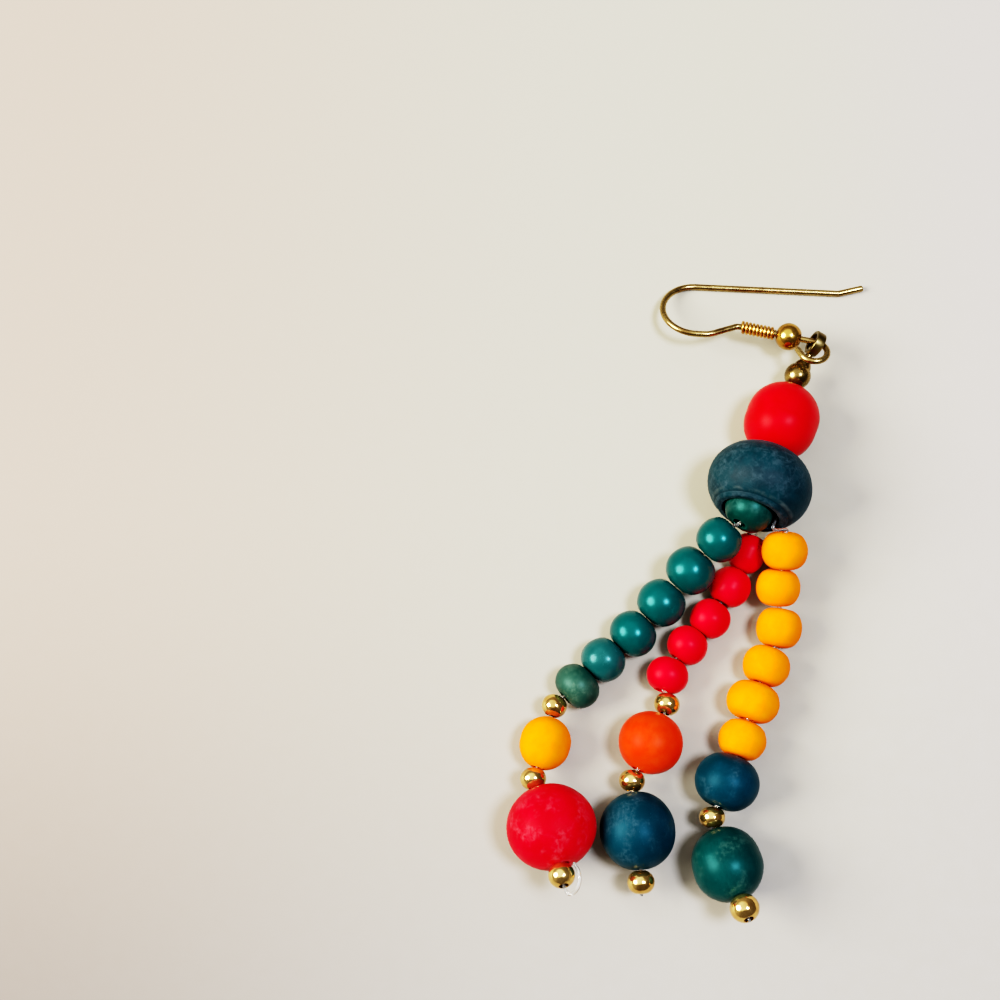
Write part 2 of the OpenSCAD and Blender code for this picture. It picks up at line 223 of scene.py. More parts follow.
def wood_finish(node, seed):
    """Dyed and varnished wood with grain along the hole, rubbed patches, speckle and worn lips."""
    look = {**WOOD[SLOT_OF[node]], **WOOD_OF_NODE.get(node, {})}
    material, tree = new_material(f"{node}_finish")
    spot = spot_mm(tree, seed)
    tone = cloud(tree, spot, 0.4, detail=4, roughness=0.6)
    colour = mixed(tree, between(tree, tone, 0.35, 0.65), look["body"], look["deep"])

    along_hole = spot_mm(tree, seed, GRAIN_STRETCH)
    grain = cloud(tree, along_hole, 1.4, detail=5, roughness=0.6, distortion=0.4)
    lines = between(tree, grain, 0.42, 0.68)
    colour = mixed(tree, times(tree, lines, look["grain"]), colour, look["deep"])

    fibres = cloud(tree, spot, look["fibre"], detail=6, roughness=0.68, distortion=0.5)
    patches = cloud(tree, spot, 0.45, roughness=0.55)
    more = 0.3 * look["wear"]
    cover = between(tree, patches, 0.6 - more, 0.78 - more)
    worn_fibres = times(tree, cover, between(tree, fibres, 0.36, 0.74))
    rub = times(tree, worn_fibres, min(1.0, 0.25 + look["wear"]))
    colour = mixed(tree, rub, colour, look["rubbed"])

    dots = between(tree, cloud(tree, spot, 6.0, detail=2, roughness=0.6), 0.64, 0.76)
    colour = mixed(tree, times(tree, dots, 0.4 * look["speckle"]), colour, look["rubbed"])

    lip = times(tree, worn_edge(tree), between(tree, fibres, 0.3, 0.6))
    colour = mixed(tree, times(tree, lip, 0.8 * look["wear"]), colour, look["rubbed"])

    matt = math_node(tree, "ADD", look["rough"], times(tree, rub, 0.25))
    relief = math_node(tree, "ADD", grain, times(tree, fibres, 0.6))
    shaded(tree, {"Base Color": colour, "Roughness": matt, "Specular IOR Level": look["gloss"],
                  "Specular Tint": varnish(look["body"]), "Normal": bumped(tree, relief, look["bump"])})
    return material


# Places along the collar bead's axis, from its middle towards its mouth, in mm
GROOVE_AT = 3.4
RIDGE_AT = 3.18
BACK_LINE_AT = -2.75


def band(tree, place, middle, half_width):
    """1 where the place is at the middle, and 0 beyond the half width."""
    away = math_node(tree, "ABSOLUTE", math_node(tree, "SUBTRACT", place, middle))
    return between(tree, away, half_width, 0)


def collar_finish():
    """Dark blue dye that is rubbed to a pale grey mottle, with turned lines near both ends and painted
    shade in the groove by the mouth.
    """
    body = lit(0, 54, 68)
    deep = lit(0, 34, 46)
    rubbed = lit(70, 110, 122)
    pale = lit(120, 142, 138)
    material, tree = new_material("collar_bead_finish")
    spot = spot_mm(tree, SEED["collar_bead"])
    place = add(tree, "ShaderNodeSeparateXYZ", {0: own_spot(tree)}).outputs["X"]
    tone = cloud(tree, spot, 0.35, detail=4, roughness=0.6)
    colour = mixed(tree, between(tree, tone, 0.38, 0.62), body, deep)

    patches = between(tree, cloud(tree, spot, 0.3, roughness=0.6), 0.36, 0.62)
    mottle = cloud(tree, spot, 1.5, detail=7, roughness=0.72, distortion=0.6)
    mottle = between(tree, mottle, 0.4, 0.68)
    rub = times(tree, mottle, math_node(tree, "ADD", times(tree, patches, 0.8), 0.04))
    colour = mixed(tree, rub, colour, rubbed)
    flecks = between(tree, cloud(tree, spot, 5.0, roughness=0.7), 0.58, 0.72)
    colour = mixed(tree, times(tree, flecks, times(tree, patches, 0.4)), colour, rubbed)

    uneven = between(tree, cloud(tree, spot, 0.7, roughness=0.6), 0.35, 0.65)
    ridge = times(tree, band(tree, place, RIDGE_AT, 0.22), uneven)
    colour = mixed(tree, times(tree, ridge, 0.6), colour, pale)
    back_line = times(tree, band(tree, place, BACK_LINE_AT, 0.3), uneven)
    colour = mixed(tree, times(tree, back_line, 0.5), colour, rubbed)
    rim = between(tree, place, GROOVE_AT, GROOVE_AT + 0.3)
    colour = mixed(tree, times(tree, rim, times(tree, mottle, 0.5)), colour, rubbed)
    # Painted shade: a dark line in the groove by the mouth
    colour = mixed(tree, times(tree, band(tree, place, GROOVE_AT, 0.1), 0.7), colour, deep)
    lip = times(tree, worn_edge(tree), mottle)
    colour = mixed(tree, times(tree, lip, 0.5), colour, rubbed)

    relief = math_node(tree, "ADD", mottle, times(tree, flecks, 0.5))
    shaded(tree, {"Base Color": colour, "Roughness": 0.55, "Specular IOR Level": 0.12,
                  "Sheen Weight": 0.02, "Sheen Roughness": 0.4, "Sheen Tint": (0.6, 0.75, 0.85, 1),
                  "Normal": bumped(tree, relief, 0.012)})
    return material


# Below 1, a little of the light is scattered by the plate's lacquer
GOLD_METALLIC = 0.96
# The plate of each kind of metal piece: its tint, its tint where it is dull, how rough it is, and the
# depth of its dents in mm
PLATE = {
    "bead": dict(tint=(0.75, 0.48, 0.17, 1), dull=(0.5, 0.28, 0.09, 1), rough=0.09, dent=0.05),
    "wire": dict(tint=(0.32, 0.215, 0.08, 1), dull=(0.17, 0.1, 0.035, 1), rough=0.2, dent=0.003),
    "coil": dict(tint=(0.6, 0.31, 0.075, 1), dull=(0.4, 0.18, 0.04, 1), rough=0.22, dent=0.008),
    "ball": dict(tint=(0.46, 0.26, 0.06, 1), dull=(0.32, 0.155, 0.03, 1), rough=0.15, dent=0.012),
    "tip": dict(tint=(0.32, 0.215, 0.075, 1), dull=(0.14, 0.09, 0.03, 1), rough=0.18, dent=0.006),
    "loop": dict(tint=(0.17, 0.12, 0.045, 1), dull=(0.09, 0.06, 0.02, 1), rough=0.28, dent=0.01),
}


def gold_finish(name, seed, plate):
    """Gold-coloured plate with tarnish in patches and faint dents."""
    look = PLATE[plate]
    material, tree = new_material(name)
    spot = spot_mm(tree, seed)
    patches = cloud(tree, spot, 0.5, roughness=0.55)
    colour = mixed(tree, between(tree, patches, 0.45, 0.7), look["tint"], look["dull"])
    colour = mixed(tree, worn_edge(tree), colour, look["dull"])
    fine = cloud(tree, spot, 4.0)
    roughness = between(tree, fine, 0.35, 0.75, look["rough"], look["rough"] + 0.12)
    relief = cloud(tree, spot, 0.9, detail=2)
    shaded(tree, {"Base Color": colour, "Metallic": GOLD_METALLIC, "Roughness": roughness,
                  "Normal": bumped(tree, relief, look["dent"])})
    return material


NYLON_CLEAR = (0.8, 0.79, 0.75, 1)
NYLON_MILKY = (0.6, 0.55, 0.5, 1)


def nylon_finish():
    """Clear nylon, a little milky and scratched."""
    material, tree = new_material("clear_nylon_finish")
    milk = cloud(tree, spot_mm(tree, SEED["threads"]), 2.0)
    colour = mixed(tree, between(tree, milk, 0.35, 0.7), NYLON_CLEAR, NYLON_MILKY)
    roughness = between(tree, milk, 0.3, 0.8, 0.08, 0.25)
    shaded(tree, {"Base Color": colour, "Roughness": roughness, "Transmission Weight": 0.93, "IOR": 1.5,
                  "Normal": bumped(tree, milk, 0.02)})
    return material


# Meshes

# Rounding of a bead's corners, as a share of its flat ends' radius
CORNER_SHARE = 0.42
CORNER_STEPS = 8
GROOVE_DEPTH = 0.07 * MM
GROOVE_HALF = 0.1 * MM
GROOVE_STEPS = 16
# How far one seed moves the noise that makes a bead uneven, and how many swells that has in a radius
WOBBLE_STEP = (1.37, 2.11, 0.73)
WOBBLE_WAVES = 1.3


def mesh_piece(name, vertices, faces, material, place=Matrix.Identity(4), edges=None, spots=None):
    """A smooth mesh at a place, whose faces look outwards. The spot of a vertex is where it was before it
    was placed, or comes from spots, and is kept in mm. Edges holds how worn each vertex is."""
    mesh = bpy.data.meshes.new(name)
    mesh.from_pydata([tuple(place @ v) for v in vertices], [], faces)
    layer = mesh.attributes.new("spot", "FLOAT_VECTOR", "POINT")
    layer.data.foreach_set("vector", [c / MM for v in (spots or vertices) for c in v])
    wear = mesh.attributes.new("edge", "FLOAT", "POINT")
    wear.data.foreach_set("value", edges or [0.0] * len(vertices))
    shell = bmesh.new()
    shell.from_mesh(mesh)
    bmesh.ops.recalc_face_normals(shell, faces=shell.faces)
    shell.to_mesh(mesh)
    shell.free()
    mesh.shade_smooth()
    piece = bpy.data.objects.new(name, mesh)
    bpy.context.scene.collection.objects.link(piece)
    mesh.materials.append(material)
    return piece


def fitted(piece, nodes):
    """Seats a finished piece on the body, in place of its solids."""
    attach(piece, BODY)
    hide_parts(*nodes)


def ring_faces(rings, sides, closed):
    """Quads between rings of vertices, and from the last ring to the first where it is closed."""
    last = rings if closed else rings - 1
    faces = []
    for i in range(last):
        for k in range(sides):
            j = (i + 1) % rings
            n = (k + 1) % sides
            faces.append((i * sides + k, i * sides + n, j * sides + n, j * sides + k))
    return faces


def closed_faces(rings, sides):
    """Quads between rings of vertices, and a face at each end."""
    ends = [tuple(range(sides)), tuple(range((rings - 1) * sides, rings * sides))]
    return ring_faces(rings, sides, False) + ends


def arc(steps, start, end):
    """Angles in radians from start to end, both given in degrees."""
    return [math.radians(start + (end - start) * i / steps) for i in range(steps + 1)]


def lip_points(half, hole_r, lip):
    """Round lip from a flat end at +half into a hole."""
    return [(half - lip + lip * math.sin(a), hole_r + lip - lip * math.cos(a)) for a in arc(5, 90, 0)]


def side_points(half, radius, end_r, steps):
    """The bead's side from -half to +half: one arc between the flat ends, and on a long bead the arc of a
    ball at each end, with a straight stretch between them."""
    bulge = radius - end_r
    side_r = min((half * half + bulge * bulge) / (2 * bulge), radius)
    sweep = math.acos((side_r - bulge) / side_r)
    straight = half - side_r * math.sin(sweep)
    points = []
    for i in range(steps + 1):
        a = sweep * (2 * i / steps - 1)
        shift = math.copysign(straight, a) if i * 2 != steps else 0.0
        points.append((shift + side_r * math.sin(a), radius - side_r + side_r * math.cos(a)))
    return points


def softened(side, inner_r, reach):
    """The side with round corners towards the flat ends, which go in to the inner radius."""
    half, end_r = side[-1]
    keep = [(x, r) for x, r in side if math.dist((x, r), (half, end_r)) > reach and x > 0]
    start = keep[-1]
    final = (half, max(inner_r, end_r - reach))
    turn = []
    for i in range(1, CORNER_STEPS + 1):
        t = i / CORNER_STEPS
        pulls = (((1 - t) ** 2, start), (2 * t * (1 - t), (half, end_r)), (t * t, final))
        turn.append(tuple(sum(weight * p[k] for weight, p in pulls) for k in (0, 1)))
    right = keep + turn
    middle = [(x, r) for x, r in side if x == 0]
    return [(-x, r) for x, r in reversed(right)] + middle + right


def bead_section(half, radius, end_r, hole_r, lip, steps):
    """Closed section of a drilled bead, as pairs of a place along the hole and a distance from it."""
    side = side_points(half, radius, end_r, steps)
    side = softened(side, hole_r + lip, CORNER_SHARE * end_r)
    lips = lip_points(half, hole_r, lip)
    wall = [(share * (half - lip), hole_r) for share in (0.6, 0.2, -0.2, -0.6)]
    return side + lips + wall + [(-x, r) for x, r in reversed(lips)]


def grooved(side):
    """The collar's side with a fine turned groove where it meets the rim."""
    middle = GROOVE_AT * MM
    before = [p for p in side if p[0] < middle - 2 * GROOVE_HALF]
    after = [p for p in side if p[0] > middle + 2 * GROOVE_HALF]
    (x0, r0), (x1, r1) = before[-1], after[0]
    groove = []
    for i in range(1, GROOVE_STEPS):
        x = x0 + (x1 - x0) * i / GROOVE_STEPS
        dip = GROOVE_DEPTH * math.exp(-((x - middle) / GROOVE_HALF) ** 2)
        groove.append((x, r0 + (r1 - r0) * i / GROOVE_STEPS - dip))
    return before + groove + after


def collar_section(half, radius, end_r, cut, mouth_r, depth, hole_r, lip, steps):
    """Closed section of the collar bead, whose wide mouth at +half is cut from a longer bead."""
    whole = side_points(half + cut / 2, radius, end_r, steps)
    side = grooved([(x + cut / 2, r) for x, r in whole if x + cut / 2 < half - lip])
    mouth_lip = lip_points(half, mouth_r, lip)
    lip_r = max(r for x, r in mouth_lip)
    rim = [(half, side[-1][1] - lip), (half, (side[-1][1] + lip_r) / 2)] + mouth_lip
    floor = half - depth
    wall = [(half - depth * share, mouth_r) for share in (0.25, 0.5, 0.75)]
    corner = [(floor, mouth_r), (floor, 0.6 * mouth_r), (floor, hole_r)]
    bore = [(0.5 * (floor - half), hole_r)]
    back = [(-x, r) for x, r in reversed(lip_points(half, hole_r, lip))]
    return side + rim + wall + corner + bore + back


def turned_piece(name, section, sides, lips, reach, seed, wobble, material, place):
    """Turns a closed section round X, a little out of round. Lips are places in the section that are
    worn, as far as the reach."""
    vertices = []
    edges = []
    shift = Vector([seed * step for step in WOBBLE_STEP])
    size = max(r for x, r in section)
    for x, r in section:
        near = min(math.dist((x, r), spot) for spot in lips)
        for k in range(sides):
            angle = math.tau * k / sides
            out = Vector((x, r * math.cos(angle), r * math.sin(angle)))
            swell = 1 + wobble * noise.noise(out / size * WOBBLE_WAVES + shift)
            vertices.append(Vector((x, out.y * swell, out.z * swell)))
            edges.append(max(0.0, 1 - near / reach))
    return mesh_piece(name, vertices, ring_faces(len(section), sides, True), material, place, edges)


def tube_piece(name, path, radii, sides, material, up=UP):
    """A round tube along a path, closed at both ends. Radii holds one radius for each point."""
    vertices = []
    spots = []
    side = None
    run = 0.0
    last = len(path) - 1
    for i, point in enumerate(path):
        run += (point - path[max(i - 1, 0)]).length
        ahead = (path[min(i + 1, last)] - path[max(i - 1, 0)]).normalized()
        if side is None:
            side = ahead.cross(up).normalized()
        side = (side - side.dot(ahead) * ahead).normalized()
        top = side.cross(ahead)
        for k in range(sides):
            angle = math.tau * k / sides
            vertices.append(point + radii[i] * (math.cos(angle) * side + math.sin(angle) * top))
            spots.append(Vector((run, radii[i] * math.cos(angle), radii[i] * math.sin(angle))))
    return mesh_piece(name, vertices, closed_faces(len(path), sides), material, spots=spots)


def rounded_ends(path, radius, bevel):
    """Adds short tapering stretches to both ends of a path, and gives the radii."""
    first = (path[0] - path[1]).normalized()
    final = (path[-1] - path[-2]).normalized()
    steps = [math.radians(a) for a in (25, 50, 75)]
    inset = path[0] - first * bevel
    outset = path[-1] - final * bevel
    head = [inset + first * bevel * math.sin(a) for a in reversed(steps)]
    tail = [outset + final * bevel * math.sin(a) for a in steps]
    ends = [radius - bevel * (1 - math.cos(a)) for a in steps]
    body = [inset] + list(path[1:-1]) + [outset]
    return head + body + tail, list(reversed(ends)) + [radius] * len(body) + ends


def smooth_path(points, steps):
    """A curve through the points, with steps to each stretch."""
    path = []
    for i in range(len(points) - 1):
        before = points[max(i - 1, 0)]
        here, after = points[i], points[i + 1]
        beyond = points[min(i + 2, len(points) - 1)]
        for s in range(steps):
            t = s / steps
            path.append(0.5 * (
                2 * here
                + (after - before) * t
                + (2 * before - 5 * here + 4 * after - beyond) * t * t
                + (3 * here - before - 3 * after + beyond) * t ** 3
            ))
    path.append(points[-1])
    return path


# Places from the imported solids

def centre_of(node):
    low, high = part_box(node)
    return (low + high) / 2


def direction(heading, climb):
    """Unit vector with this heading and climb, both in degrees."""
    h, c = math.radians(heading), math.radians(climb)
    return Vector((math.cos(h) * math.cos(c), math.sin(h) * math.cos(c), math.sin(c)))


def strand_nodes(strand):
    count = sum(name.startswith(f"{strand}_strand_bead_") for name in frame["nodes"])
    return [f"{strand}_strand_bead_{i + 1}" for i in range(count)]


# How near to a bead's end a vertex lies that belongs to the flat
FLAT_SLACK = 0.02 * MM


def size_of(node, centre, axis):
    """Half the length along the axis, the radius round it, and the radius of the flat ends."""
    arms = [v.co - centre for v in frame["nodes"][node].data.vertices]
    half = max(abs(arm.dot(axis)) for arm in arms)
    spread = [(abs(arm.dot(axis)), (arm - arm.dot(axis) * axis).length) for arm in arms]
    radius = max(r for x, r in spread)
    end_r = max(r for x, r in spread if x > half - FLAT_SLACK)
    return half, radius, end_r


def along(centre, axis):
    """Placement that turns +X to the axis, with +Z as upright as it can be."""
    side = UP.cross(axis).normalized()
    top = axis.cross(side)
    turn = Matrix((axis, side, top)).transposed().to_4x4()
    return Matrix.Translation(centre) @ turn


# The point on the surface that the jewel is laid out from, below the collar bead
ANCHOR = Vector((7.22, 11.11, 0)) * MM
# The holes' directions in the two beads above the strands, towards the strands
CAP_AXIS = direction(-111, 9.5)
COLLAR_AXIS = direction(-110, 13)
CAP = centre_of("cap_bead")
COLLAR = ANCHOR + Vector((-0.04, -0.12, 5.64)) * MM
CENTRES = {strand: [centre_of(node) for node in strand_nodes(strand)] for strand in STRANDS}
# Heading and climb of the hole in each strand's first bead, which faces the collar's mouth
LEAD = {"green": (-125, 10), "red": (-114, -9), "yellow": (-94, -18)}


def hole_axis(strand, i):
    """Direction of a bead's hole: along the chord between its neighbours, but for the first bead."""
    points = CENTRES[strand]
    if i == 0:
        return direction(*LEAD[strand])
    return (points[min(i + 1, len(points) - 1)] - points[i - 1]).normalized()


# Beads

BORE_R = 0.75 * MM
BORE_LIP = 0.1 * MM
METAL_BORE_R = 0.5 * MM
METAL_LIP = 0.04 * MM
# How far from the hole's ends the wood is rubbed, and the plate dull
WORN_REACH = 0.5 * MM
METAL_REACH = 0.12 * MM
# How far a turned bead is out of round, as a share of its radius
WOBBLE = 0.022
METAL_WOBBLE = 0.004
# From this radius on, a bead has more sides round its hole and more steps along its side
LARGE_R = 3 * MM
LARGE_FACETS = (112, 64)
SMALL_FACETS = (72, 44)


def bead_piece(node, centre, axis, seed):
    """A turned and drilled bead in place of its solid."""
    slot = SLOT_OF[node]
    half, radius, end_r = size_of(node, centre, axis)
    if slot == "gold_plate":
        material = gold_finish(f"{node}_finish", seed, "bead")
        hole_r, lip, reach, wobble = METAL_BORE_R, METAL_LIP, METAL_REACH, METAL_WOBBLE
    else:
        material = wood_finish(node, seed)
        hole_r, lip, reach, wobble = BORE_R, BORE_LIP, WORN_REACH, WOBBLE
    sides, steps = LARGE_FACETS if radius > LARGE_R else SMALL_FACETS
    section = bead_section(half, radius, max(end_r, hole_r + lip), hole_r, lip, steps)
    lips = [(half, hole_r), (-half, hole_r)]
    piece = turned_piece(f"{node}_turned", section, sides, lips, reach, seed, wobble, material,
                         along(centre, axis))
    fitted(piece, [node])


def build_strands():
    seed = 1
    for strand in STRANDS:
        for i, node in enumerate(strand_nodes(strand)):
            bead_piece(node, CENTRES[strand][i], hole_axis(strand, i), seed)
            seed += 1


def build_cap():
    bead_piece("cap_bead", CAP, CAP_AXIS, SEED["cap_bead"])


COLLAR_HALF = 3.8 * MM
COLLAR_R = 5.7 * MM
COLLAR_END_SHARE = 0.46
COLLAR_WOBBLE = 0.008
COLLAR_SIDES = 160
COLLAR_STEPS = 96
MOUTH_R = 3.15 * MM
MOUTH_DEPTH = 5.1 * MM
# How much the rim cuts off the bead's length, its rounding, and the middle and reach of its worn band
RIM_CUT = 0.4 * MM
RIM_LIP = 0.12 * MM
RIM_WORN_AT = MOUTH_R + 0.2 * MM
RIM_REACH = 0.6 * MM


def build_collar():
    section = collar_section(COLLAR_HALF, COLLAR_R, COLLAR_END_SHARE * COLLAR_R, RIM_CUT, MOUTH_R,
                             MOUTH_DEPTH, BORE_R, RIM_LIP, COLLAR_STEPS)
    lips = [(COLLAR_HALF, RIM_WORN_AT), (-COLLAR_HALF, BORE_R)]
    piece = turned_piece("collar_bead_turned", section, COLLAR_SIDES, lips, RIM_REACH,
                         SEED["collar_bead"], COLLAR_WOBBLE, collar_finish(), along(COLLAR, COLLAR_AXIS))
    fitted(piece, ["collar_bead"])


# Ear wire

WIRE_R = 0.35 * MM
WIRE_SIDES = 24
WIRE_STEP = 0.5 * MM
# Rounding of the wire's ends
WIRE_BEVEL = 0.12 * MM
TAIL_HEADING = -2.8
BOW_LEAN = 28
# Runs, turns in degrees and radii of the ear wire as it is bent, in mm
TAIL_BENDS = [(15.8, 16, 1), (2.7, 0, 0)]
BOW_BENDS = [(0.3, 180, 3.75), (0.7, 25, 3), (2.5, -37.5, 1), (8.5, -232, 1.5), (1.1, 0, 0)]
# The row of the bow whose run carries the coil and the ball
COIL_ROW = 3
# Degrees between the points of a bend
BEND_STEP = 5
TAIL_FRAME = (
    Matrix.Translation(ANCHOR + Vector((-5.7, 23.95, 0.35)) * MM)
    @ Matrix.Rotation(math.radians(TAIL_HEADING), 4, "Z")
)
BOW_FRAME = (
    TAIL_FRAME
    @ Matrix.Rotation(math.radians(-BOW_LEAN), 4, "X")
    @ Matrix.Rotation(math.pi, 4, "Z")
)


def bend(frame_here, turn, radius):
    """The frame beyond a bend to the left, or to the right where the turn is negative."""
    sideways = math.copysign(radius * (1 - math.cos(turn)), turn)
    step = Vector((radius * math.sin(abs(turn)), sideways, 0))
    return frame_here @ Matrix.Translation(step) @ Matrix.Rotation(turn, 4, "Z")


def bent_frames(bends, start):
    """Frames along a bent wire, and the frame at the start of each row."""
    frames = []
    rows = []
    here = start
    for run, degrees, radius in bends:
        rows.append(here)
        frames.append(here)
        here = here @ Matrix.Translation((run * MM, 0, 0))
        count = math.ceil(abs(degrees) / BEND_STEP)
        for i in range(count):
            frames.append(bend(here, math.radians(degrees) * i / count, radius * MM))
        here = bend(here, math.radians(degrees), radius * MM)
    frames.append(here)
    return frames, rows


def build_hook():
    """Builds the ear wire and gives the frame where its shank starts."""
    tail = bent_frames(TAIL_BENDS, TAIL_FRAME)[0]
    bow, bow_rows = bent_frames(BOW_BENDS, BOW_FRAME)
    points = [f.translation for f in reversed(tail)] + [f.translation for f in bow[1:]]
    path, radii = rounded_ends(dense(points, WIRE_STEP), WIRE_R, WIRE_BEVEL)
    material = gold_finish("ear_hook_finish", SEED["ear_hook"], "wire")
    up = (BOW_FRAME.to_3x3() @ UP).normalized()
    piece = tube_piece("ear_hook_wire", path, radii, WIRE_SIDES, material, up)
    fitted(piece, ["ear_hook"])
    return bow_rows[COIL_ROW]


def dense(points, step):
    """The same points with others between them, so that no stretch is longer than the step."""
    path = []
    for here, after in zip(points, points[1:]):
        count = max(1, math.ceil((after - here).length / step))
        path += [here.lerp(after, i / count) for i in range(count)]
    return path + [points[-1]]


COIL_TURNS = 9
COIL_PITCH = 0.41 * MM
COIL_WIRE_R = 0.17 * MM
COIL_SIDES = 12
# Points in one turn of the coil
COIL_STEPS = 36
COIL_BEVEL = 0.05 * MM
# Play between the wire and the coil, and between the coil and the ball
PLAY = 0.05 * MM
COIL_R = WIRE_R + PLAY + COIL_WIRE_R
BALL_D = 3.05 * MM
# Half the length of the ball's hole
BALL_HALF = 0.45 * BALL_D
BALL_LIP = 0.05 * MM
BALL_FACETS = (96, 64)
BALL_CENTRE = COIL_TURNS * COIL_PITCH + 2 * COIL_WIRE_R + PLAY + BALL_HALF


def build_coil(shank):
    """Fine wire that is wound round the shank."""
    helix = []
    for i in range(COIL_TURNS * COIL_STEPS + 1):
        angle = math.tau * i / COIL_STEPS
        run = COIL_PITCH * i / COIL_STEPS + COIL_WIRE_R
        helix.append(shank @ Vector((run, COIL_R * math.cos(angle), COIL_R * math.sin(angle))))
    path, radii = rounded_ends(helix, COIL_WIRE_R, COIL_BEVEL)
    material = gold_finish("hook_coil_finish", SEED["hook_coil"], "coil")
    up = shank.to_3x3() @ Vector((1, 0, 0))
    piece = tube_piece("hook_coil_winding", path, radii, COIL_SIDES, material, up)
    fitted(piece, ["hook_coil"])


def build_ball(shank):
    """The drilled ball on the shank, behind the coil."""
    centre = shank @ Vector((BALL_CENTRE, 0, 0))
    axis = (shank.to_3x3() @ Vector((1, 0, 0))).normalized()
    half, radius, end_r = size_of("hook_ball", centre, axis)
    sides, steps = BALL_FACETS
    section = bead_section(half, radius, end_r, METAL_BORE_R, BALL_LIP, steps)
    lips = [(half, METAL_BORE_R), (-half, METAL_BORE_R)]
    material = gold_finish("hook_ball_finish", SEED["hook_ball"], "ball")
    piece = turned_piece("hook_ball_drilled", section, sides, lips, METAL_REACH, SEED["hook_ball"],
                         METAL_WOBBLE, material, along(centre, axis))
    fitted(piece, ["hook_ball"])


# Bead tip

TIP_R = 1.475 * MM
# Between the tip and the cap bead
TIP_SPACE = 0.25 * MM
TIP_SIDES = 72
TIP_STEPS = 40
# Degrees round the tip, from the point opposite the neck, at which its section starts and the neck begins
TIP_START = 2
TIP_END = 140
NECK_HEADING = 60
NECK_CLIMB = 12
NECK_R = 0.4 * MM
NECK_REACH = 2.9 * MM
NECK_STEPS = 12
# The plate is ever duller from here to twice as far from the tip's middle
DULL_FROM = 0.8 * TIP_R
LOOP_R = 1.45 * MM
LOOP_STEPS = 96
LOOP_START = 176
LOOP_SWEEP = 405
LOOP_ROLL = 73
# The solid's thickness of the loop, and the strip's own, its width and the rounding of its corners
SOLID_T = 0.6 * MM
STRIP_T = 0.42 * MM
STRIP_W = 1.1 * MM
STRIP_CORNER = 0.13 * MM
# How far the strip lies inside the solid's surface
STRIP_INSET = 0.02 * MM
# The share of the strip that curls in at the end, and how far
CURL_SHARE = 0.14
CURL_DEPTH = 0.62 * MM
# How thin the strip's ends start, and the share of the strip in which it would gain its whole thickness
TAPER_START = 0.35
TAPER_SHARE = 0.02
CAP_HALF = size_of("cap_bead", CAP, CAP_AXIS)[0]
TIP = CAP - (CAP_HALF + TIP_R + TIP_SPACE) * CAP_AXIS
NECK_FRAME = (
    Matrix.Translation(TIP)
    @ Matrix.Rotation(math.radians(NECK_HEADING), 4, "Z")
    @ Matrix.Rotation(math.radians(-NECK_CLIMB), 4, "Y")
)


def drop_section():
    """Half section of the round tip and its neck, from the point opposite the neck to inside the loop."""
    angles = arc(TIP_STEPS, TIP_START, TIP_END)
    points = [(-TIP_R * math.cos(a), TIP_R * math.sin(a)) for a in angles]
    x, r = points[-1]
    for i in range(1, NECK_STEPS + 1):
        t = i / NECK_STEPS
        blend = t * t * (3 - 2 * t)
        narrow = r + (NECK_R - r) * (1 - (1 - blend) ** 2)
        points.append((x + (NECK_REACH - x) * t, narrow))
    return points


def build_tip():
    """The round tip with its neck, and the loop."""
    vertices = []
    edges = []
    section = drop_section()
    for x, r in section:
        for k in range(TIP_SIDES):
            angle = math.tau * k / TIP_SIDES
            vertices.append(Vector((x, r * math.cos(angle), r * math.sin(angle))))
            edges.append(min(1.0, max(0.0, (x - DULL_FROM) / DULL_FROM)))
    faces = closed_faces(len(section), TIP_SIDES)
    material = gold_finish("bead_tip_finish", SEED["bead_tip"], "tip")
    piece = mesh_piece("bead_tip_round", vertices, faces, material, NECK_FRAME, edges)
    fitted(piece, ["bead_tip"])
    build_loop()


def build_loop():
    """The loop is rolled from a flat strip whose end curls inside."""
    centre = Matrix.Translation((NECK_REACH + LOOP_R - SOLID_T / 2, 0, 0))
    roll = NECK_FRAME @ centre @ Matrix.Rotation(math.radians(-LOOP_ROLL), 4, "X")
    outline = rounded_rectangle(STRIP_T, STRIP_W, STRIP_CORNER)
    vertices = []
    for i in range(LOOP_STEPS + 1):
        share = i / LOOP_STEPS
        angle = math.radians(LOOP_START + LOOP_SWEEP * share)
        curl = CURL_DEPTH * max(0.0, (share - 1 + CURL_SHARE) / CURL_SHARE) ** 1.5
        middle = LOOP_R - STRIP_T / 2 - STRIP_INSET - curl
        thin = min(1.0, TAPER_START + min(share, 1 - share) / TAPER_SHARE)
        for out, across in outline:
            r = middle + out * thin
            vertices.append(Vector((r * math.cos(angle), r * math.sin(angle), across * thin)))
    faces = closed_faces(LOOP_STEPS + 1, len(outline))
    material = gold_finish("bead_tip_loop_finish", SEED["bead_tip_loop"], "loop")
    piece = mesh_piece("bead_tip_loop", vertices, faces, material, roll)
    fitted(piece, ["bead_tip"])


# Signs of the corners round a rectangle
QUARTERS = ((1, 1), (-1, 1), (-1, -1), (1, -1))


def rounded_rectangle(width, height, corner):
    """Outline of a strip's section, with round corners."""
    points = []
    for i, (sx, sy) in enumerate(QUARTERS):
        for a in arc(4, 90 * i, 90 * i + 90):
            points.append((sx * (width / 2 - corner) + corner * math.cos(a),
                           sy * (height / 2 - corner) + corner * math.sin(a)))
    return points


# Threads

THREAD_R = 0.175 * MM
THREAD_SIDES = 12
THREAD_STEPS = 6
THREAD_BEVEL = 0.08 * MM
# How far from a bead's middle its thread runs straight, as a share of the bead's length
STRAIGHT_SHARE = 0.42
# How far before a strand's first bead the thread has come into line with its hole
LEAD_IN = 0.3 * MM
# How far from the tip's middle the threads end
KNOT_DEPTH = 0.3 * MM
